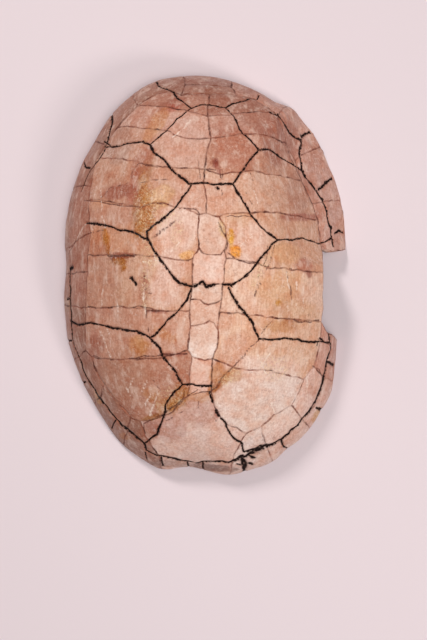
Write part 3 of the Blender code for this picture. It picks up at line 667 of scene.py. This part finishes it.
def carve(node, bone):
    mesh = bone.data
    points, triangles = bone_arrays(mesh)
    normals = triangle_normals(points, triangles)
    lean = (normals * outwards(points[triangles].mean(axis=1))).sum(axis=1)
    skin = np.unique(triangles[lean > OUTER_LEAN])
    growth = wall_growth(points, triangles, lean, normals)

    corners, facets = skins[node]
    tree = BVHTree.FromPolygons(corners.tolist(), facets.tolist())
    bulged, skin_normals = on_smooth_dome(tree, corners, smooth_normals(corners), facets, points[skin])
    suture_rows, rim_rows = edges[node]
    suture_reach = distances(tree_of(suture_rows), points[skin])[1]
    rim_reach = np.full(len(skin), 99.0)
    if len(rim_rows):
        rim_reach = distances(tree_of(rim_rows), points[skin])[1]

    packed_height = points[skin, 2]
    points[skin] = bulged
    points += growth
    stray = np.stack([noise(points, 2.6, seed) + 0.4 * noise(points, 1.1, seed + 5) for seed in (1, 2, 3)],
                     axis=1)
    away = outwards(points)
    stray -= (stray * away).sum(axis=1, keepdims=True) * away
    points += SUTURE_STRAY * stray * smooth_step(0.0, 3.0, points[:, 2])[:, None]

    place = points[skin]
    sulcus, sulcus_reach = line_depth(sulcus_tree, sulcus_rows, sulcus_widths, place, skin_normals)
    crack, crack_reach = line_depth(crack_tree, crack_rows, crack_widths, place, skin_normals)
    scratch, _ = line_depth(scratch_tree, scratch_rows, scratch_widths, place, skin_normals)
    glue = np.zeros(len(skin))
    glue_height = np.zeros(len(skin))
    colours = np.tile(ground_colour(node), (len(skin), 1))
    greyed = RIM_GREY_STRENGTH * smooth_step(22.0, 4.0, place[:, 2] + 2.0 * noise(place, 6.0, 81))
    colours += greyed[:, None] * (linear(RIM_GREY) - colours)
    for hex_colour, strength, *shape in PATCHES:
        weight = (strength * patch_weight(place, *shape))[:, None]
        colours += weight * (linear(hex_colour) - colours)
    for hex_colour, strength, *shape, thickness in GLUE:
        weight = patch_weight(place, *shape)
        colours += (strength * weight)[:, None] * (linear(hex_colour) - colours)
        glue = np.maximum(glue, weight * strength)
        glue_height = np.maximum(glue_height, weight * thickness * (0.75 + 0.5 * noise(place, 0.9, 41)))

    # Where grains of glue stand up and glint. The material raises them with its bump and paints their
    # glints as pale specks.
    grain_and_glint = np.zeros(len(skin))
    for shape in GRAIN_AND_GLINT:
        grain_and_glint = np.maximum(grain_and_glint, patch_weight(place, *shape))

    relief = sum(height * noise(place, size, seed) for height, size, seed in BUMPS)
    relief += BONE_STEP * math.sin(len(node) * 1.7 + sum(map(ord, node)))
    relief -= SUTURE_DEPTH * np.exp(-(suture_reach / SUTURE_GROOVE) ** 2)
    relief -= CRACK_DEPTH * crack
    relief -= SULCUS_DEPTH * sulcus * (1.0 - GLUE_FILLING * glue)
    relief += LIP_HEIGHT * np.exp(-(sulcus_reach - LIP_REACH) ** 2)
    relief += glue_height
    worn = np.clip(1.0 - rim_reach / RIM_ROUNDING, 0.0, 1.0)
    relief -= (RIM_WEAR + RIM_WEAR_CHANGE * noise(place, 3.0, 61)) * worn ** 2
    place += relief[:, None] * skin_normals
    free = smooth_step(0.0, RIM_ROUNDING, rim_reach)
    place[:, 2] = packed_height + free * (place[:, 2] - packed_height)
    points[skin] = place
    points[:, 2] = np.maximum(points[:, 2], 0.0)
    mesh.vertices.foreach_set("co", (points * MM).ravel())

    marks = {
        "sulcus": np.exp(-SULCUS_STAIN_FALL * sulcus_reach ** 2),
        "crack": np.exp(-CRACK_STAIN_FALL * crack_reach ** 2),
        "suture": np.exp(-(suture_reach / SUTURE_STAIN) ** 2),
        "glue": glue, "grain_and_glint": grain_and_glint, "scratch": scratch,
    }
    for name, values in marks.items():
        everywhere = np.zeros(len(points))
        everywhere[skin] = values
        store(mesh, name, everywhere)
    painted = np.ones((len(points), 4))
    painted[:, :3] = linear(INSIDE_GROUND) * 0.5 + ground_colour(node) * 0.5
    painted[skin, :3] = colours
    layer = mesh.attributes.new("ground", "FLOAT_COLOR", "POINT")
    layer.data.foreach_set("color", painted.astype(np.float32).ravel())


for node, bone in bones.items():
    carve(node, bone)
    pick(bone)
    bpy.ops.object.shade_smooth_by_angle(angle=math.radians(50))
    middles, normals, _ = face_arrays(bone.data)
    underside = (normals[:, 2] < -0.8) & (middles[:, 2] < RIM_HEIGHT)
    bone.data.polygons.foreach_set("use_smooth", ~underside)
print("carved bones:", len(bones))

# %% [markdown]
# ## Dry bone as a material
#
# Bone is a matt, slightly waxy solid with an index of refraction of about 1.55. The fibres that it
# grew from show as fine streaks, nearly along the shell, and pores and flakes mottle it. The
# material takes its ground colour from the mesh, darkens and lightens it with those streaks, and
# then lays the lines over it: brown sutures and cracks, black earth in the sulci, glossy glue.

# %% Build the bone materials
def add(tree, kind, inputs=None, **settings):
    """Add a node, with its settings and with values or links for its inputs."""
    node = tree.nodes.new(kind)
    for name, value in settings.items():
        setattr(node, name, value)
    for name, value in (inputs or {}).items():
        if isinstance(value, bpy.types.NodeSocket):
            tree.links.new(value, node.inputs[name])
        else:
            node.inputs[name].default_value = value
    return node


def colour4(hex_colour):
    return (*linear(hex_colour), 1.0)


A, B, MIXED = 6, 7, 2        # the colour sockets of a Mix node


def mix_colour(tree, factor, a, b, blend="MIX"):
    settings = {"data_type": "RGBA", "blend_type": blend}
    return add(tree, "ShaderNodeMix", {0: factor, A: a, B: b}, **settings).outputs[MIXED]


EARTH = "#160502"            # black earth that fills the sulci
EARTH_HALO = "#7d3c28"       # the brown that it leaves beside them
CRACK_BROWN = "#55241a"
SUTURE_BROWN = "#9c5a45"
SUTURE_DARK = "#52241a"
SCRATCH_PALE = "#fff1e4"
GLUE_FLAKE = "#7a3a06"       # dark flakes in the glue, and the painted highlight of its glinting grains
PAINTED_GLUE_GLINT = "#ffe6b8"


def dry_bone(name, roughness, streak_contrast, stain_strength, pit_strength):
    """Dry bone, with streaks 0.6 mm apart and 8 mm long, flakes of 0.85 mm and mottling of 5 mm.

    Real pores and fibres are about 0.1 mm. They are drawn coarser here, to show on the whole shell.
    """
    material = bpy.data.materials.new(name)
    material.use_nodes = True
    tree = material.node_tree
    shader = tree.nodes["Principled BSDF"]

    def math_node(operation, a, b):
        return add(tree, "ShaderNodeMath", {0: a, 1: b}, operation=operation).outputs[0]

    def remap(value, low, high, to_low=0.0, to_high=1.0):
        return add(tree, "ShaderNodeMapRange", {"Value": value, "From Min": low, "From Max": high,
                                                "To Min": to_low, "To Max": to_high}).outputs[0]

    def noise_node(vector, size_mm, detail):
        return add(tree, "ShaderNodeTexNoise", {"Vector": vector, "Scale": 1000.0 / size_mm,
                                                "Detail": detail, "Roughness": 0.62}).outputs["Fac"]

    def wrinkles(size_mm, width, strength):
        """Thin wandering lines, where a noise crosses its middle value."""
        offset = math_node("ABSOLUTE", math_node("SUBTRACT", noise_node(place, size_mm, 2.0), 0.5), 0.0)
        return remap(offset, width, 0.0, 0.0, strength)

    def kept(attribute):
        return add(tree, "ShaderNodeAttribute", attribute_name=attribute).outputs["Fac"]

    def paint(mask, under, hex_colour):
        return mix_colour(tree, mask, under, colour4(hex_colour))

    place = add(tree, "ShaderNodeTexCoord").outputs["Object"]
    along = add(tree, "ShaderNodeMapping", {"Vector": place, "Scale": (1.0, 0.075, 0.6)}).outputs["Vector"]
    aslant = add(tree, "ShaderNodeMapping", {"Vector": place, "Rotation": (0.0, 0.0, 0.8),
                                             "Scale": (1.0, 0.4, 1.0)}).outputs["Vector"]
    streaks = noise_node(along, 0.60, 3.0)
    flakes = noise_node(place, 0.85, 4.0)
    mottling = noise_node(place, 5.0, 3.0)
    patchy = remap(noise_node(place, 8.0, 2.0), 0.38, 0.62)
    glue = kept("glue")
    tone = add(tree, "ShaderNodeAttribute", attribute_name="ground").outputs["Color"]

    darker = mix_colour(tree, 1.0, tone, colour4("#ddccc2"), "MULTIPLY")
    grainy = mix_colour(tree, remap(flakes, 0.36, 0.58), darker, tone)
    grainy = mix_colour(tree, remap(flakes, 0.52, 0.70, 0.0, 0.16), grainy, colour4("#fff2e6"))
    tone = mix_colour(tree, 0.60, tone, grainy)
    fibre = mix_colour(tree, 1.0, tone, colour4("#d8beb0"), "MULTIPLY")
    fibrous = mix_colour(tree, remap(streaks, 0.42, 0.60), fibre, tone)
    tone = mix_colour(tree, streak_contrast, tone, fibrous)
    rosy = mix_colour(tree, 1.0, tone, colour4("#f6e0d3"), "MULTIPLY")
    tone = mix_colour(tree, remap(mottling, 0.34, 0.60), rosy, tone)
    stained = mix_colour(tree, 1.0, tone, colour4("#dbac8e"), "MULTIPLY")
    stains = remap(noise_node(place, 9.0, 6.0), 0.53, 0.66, 0.0, stain_strength)
    tone = mix_colour(tree, stains, tone, stained)
    scuffs = remap(noise_node(aslant, 3.0, 6.0), 0.52, 0.64, 0.0, 0.36)
    tone = paint(scuffs, tone, "#f6ddcd")
    tone = paint(math_node("MULTIPLY", wrinkles(6.5, 0.010, 0.45), patchy), tone, "#8a4a38")
    tone = paint(math_node("MULTIPLY", wrinkles(3.4, 0.012, 0.42), math_node("SUBTRACT", 1.0, patchy)),
                 tone, "#fff3e8")

    ragged = remap(flakes, 0.3, 0.7, -0.38, 0.38)

    def line_mask(attribute, low, high):
        amount = kept(attribute)
        edge = remap(math_node("ADD", amount, ragged), low, high)
        return math_node("MULTIPLY", edge, remap(amount, 0.02, 0.15))

    tone = paint(math_node("MULTIPLY", glue, remap(flakes, 0.50, 0.38, 0.0, 0.40)), tone, GLUE_FLAKE)
    stretches = remap(noise_node(place, 3.6, 2.0), 0.40, 0.62, 0.22, 0.95)
    suture = math_node("MULTIPLY", line_mask("suture", 0.40, 0.95), stretches)
    suture_colour = mix_colour(tree, patchy, colour4(SUTURE_BROWN), colour4(SUTURE_DARK))
    tone = mix_colour(tree, suture, tone, suture_colour)
    tone = paint(math_node("MULTIPLY", line_mask("crack", 0.35, 0.95), 0.85), tone, CRACK_BROWN)
    tone = paint(math_node("MULTIPLY", line_mask("scratch", 0.40, 1.0), 0.62), tone, SCRATCH_PALE)
    # Painted highlight: pale specks stand for the glints of grains of glue, on the listed places and thinly
    # on all glue. The bump also raises these grains.
    grain_and_glint = math_node("MAXIMUM", kept("grain_and_glint"), math_node("MULTIPLY", glue, 0.30))
    dots = remap(noise_node(place, 0.8, 1.0), 0.62, 0.68)
    crinkles = math_node("MAXIMUM", wrinkles(1.6, 0.030, 1.0), dots)
    speckle_and_glint = math_node("MULTIPLY", crinkles, grain_and_glint)
    tone = paint(math_node("MULTIPLY", speckle_and_glint, 0.52), tone, PAINTED_GLUE_GLINT)
    tone = paint(math_node("MULTIPLY", line_mask("sulcus", 0.05, 0.75), 0.38), tone, EARTH_HALO)
    sulcus = line_mask("sulcus", 0.50, 0.80)
    tone = paint(sulcus, tone, EARTH)
    tree.links.new(tone, shader.inputs["Base Color"])

    tree.links.new(math_node("MAXIMUM", sulcus, roughness), shader.inputs["Roughness"])
    tree.links.new(remap(glue, 0.30, 0.70, 0.0, 0.55), shader.inputs["Coat Weight"])
    shader.inputs["Coat Roughness"].default_value = 0.34
    shader.inputs["IOR"].default_value = 1.55
    shader.inputs["Specular IOR Level"].default_value = 0.22
    height = math_node("ADD", math_node("ADD", flakes, mottling), math_node("MULTIPLY", speckle_and_glint, 1.2))
    bump = add(tree, "ShaderNodeBump", {"Height": height, "Strength": pit_strength, "Distance": 0.00012})
    tree.links.new(bump.outputs["Normal"], shader.inputs["Normal"])
    return material


BONE_KINDS = {
    # slot: material name, roughness, strength of the streaks, of the stains and of the pits
    "nuchal_bone": ("dry bone, grey and worn", 0.62, 0.20, 0.30, 0.60),
    "neural_bone": ("dry bone, rubbed smooth", 0.55, 0.12, 0.20, 0.40),
    "costal_bone": ("dry bone, fibrous", 0.60, 0.34, 0.28, 0.50),
    "rear_bone": ("dry bone, chalky", 0.66, 0.25, 0.60, 0.65),
    "rim_bone": ("dry bone, pitted", 0.62, 0.30, 0.45, 0.70),
}
finishes = {slot: dry_bone(*values) for slot, values in BONE_KINDS.items()}
slot_of = {part["node"]: part["material_slot"] for part in frame["record"]["subparts"]}
for node, bone in bones.items():
    bone.data.materials.clear()
    bone.data.materials.append(finishes[slot_of[node]])
    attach(bone, "root")
    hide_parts(node)
print("materials:", [material.name for material in finishes.values()])

# %% [markdown]
# ## Table, light and camera
#
# The shell lies on a pale table under a copy stand. A wide soft box hangs above it, a little towards
# the head's left, and gives even light with a very soft shadow. A smaller lamp at the tail's right
# and another at the head's left each draw a faint shadow on the far side and bring out the relief.

# %% Table, lamps and camera
bpy.ops.object.select_all(action="DESELECT")
bpy.ops.mesh.primitive_plane_add(size=4.0, location=(0.0, 0.0, 0.0))
table = bpy.context.active_object
table.name = "table"
paper = bpy.data.materials.new("matt paper, pinkish white")
paper.use_nodes = True
paper.node_tree.nodes["Principled BSDF"].inputs["Base Color"].default_value = colour4("#e6dbe1")
paper.node_tree.nodes["Principled BSDF"].inputs["Roughness"].default_value = 0.9
table.data.materials.append(paper)

world = bpy.data.worlds.new("soft room light")
world.use_nodes = True
world.node_tree.nodes["Background"].inputs["Color"].default_value = colour4("#f4eef2")
world.node_tree.nodes["Background"].inputs["Strength"].default_value = 0.12
bpy.context.scene.world = world
bpy.context.scene.view_settings.view_transform = "Standard"


def lamp(name, place, size, watts, hex_colour):
    """A square soft lamp that points at the shell."""
    bpy.ops.object.light_add(type="AREA", location=place)
    light = bpy.context.active_object
    light.name = name
    light.data.size = size
    light.data.energy = watts
    light.data.color = linear(hex_colour)
    light.rotation_euler = (-light.location).to_track_quat("-Z", "Y").to_euler()


lamp("soft box", (0.14, -0.09, 0.72), 0.40, 2.35, "#fffbf8")
lamp("lamp at the tail's right", (-0.42, 0.58, 0.74), 0.16, 5.00, "#fff7f2")
lamp("lamp at the head's left", (0.60, -0.46, 0.66), 0.18, 2.90, "#fff4ee")

CAMERA_TURN = math.radians(3.5)
bpy.ops.object.camera_add(location=(0.00467, -0.01664, 0.600), rotation=(0.0, 0.0, CAMERA_TURN))
camera = bpy.context.active_object
camera.data.lens = 89.5
camera.data.sensor_width = 36.0
bpy.context.scene.camera = camera
print("camera height:", camera.location.z)
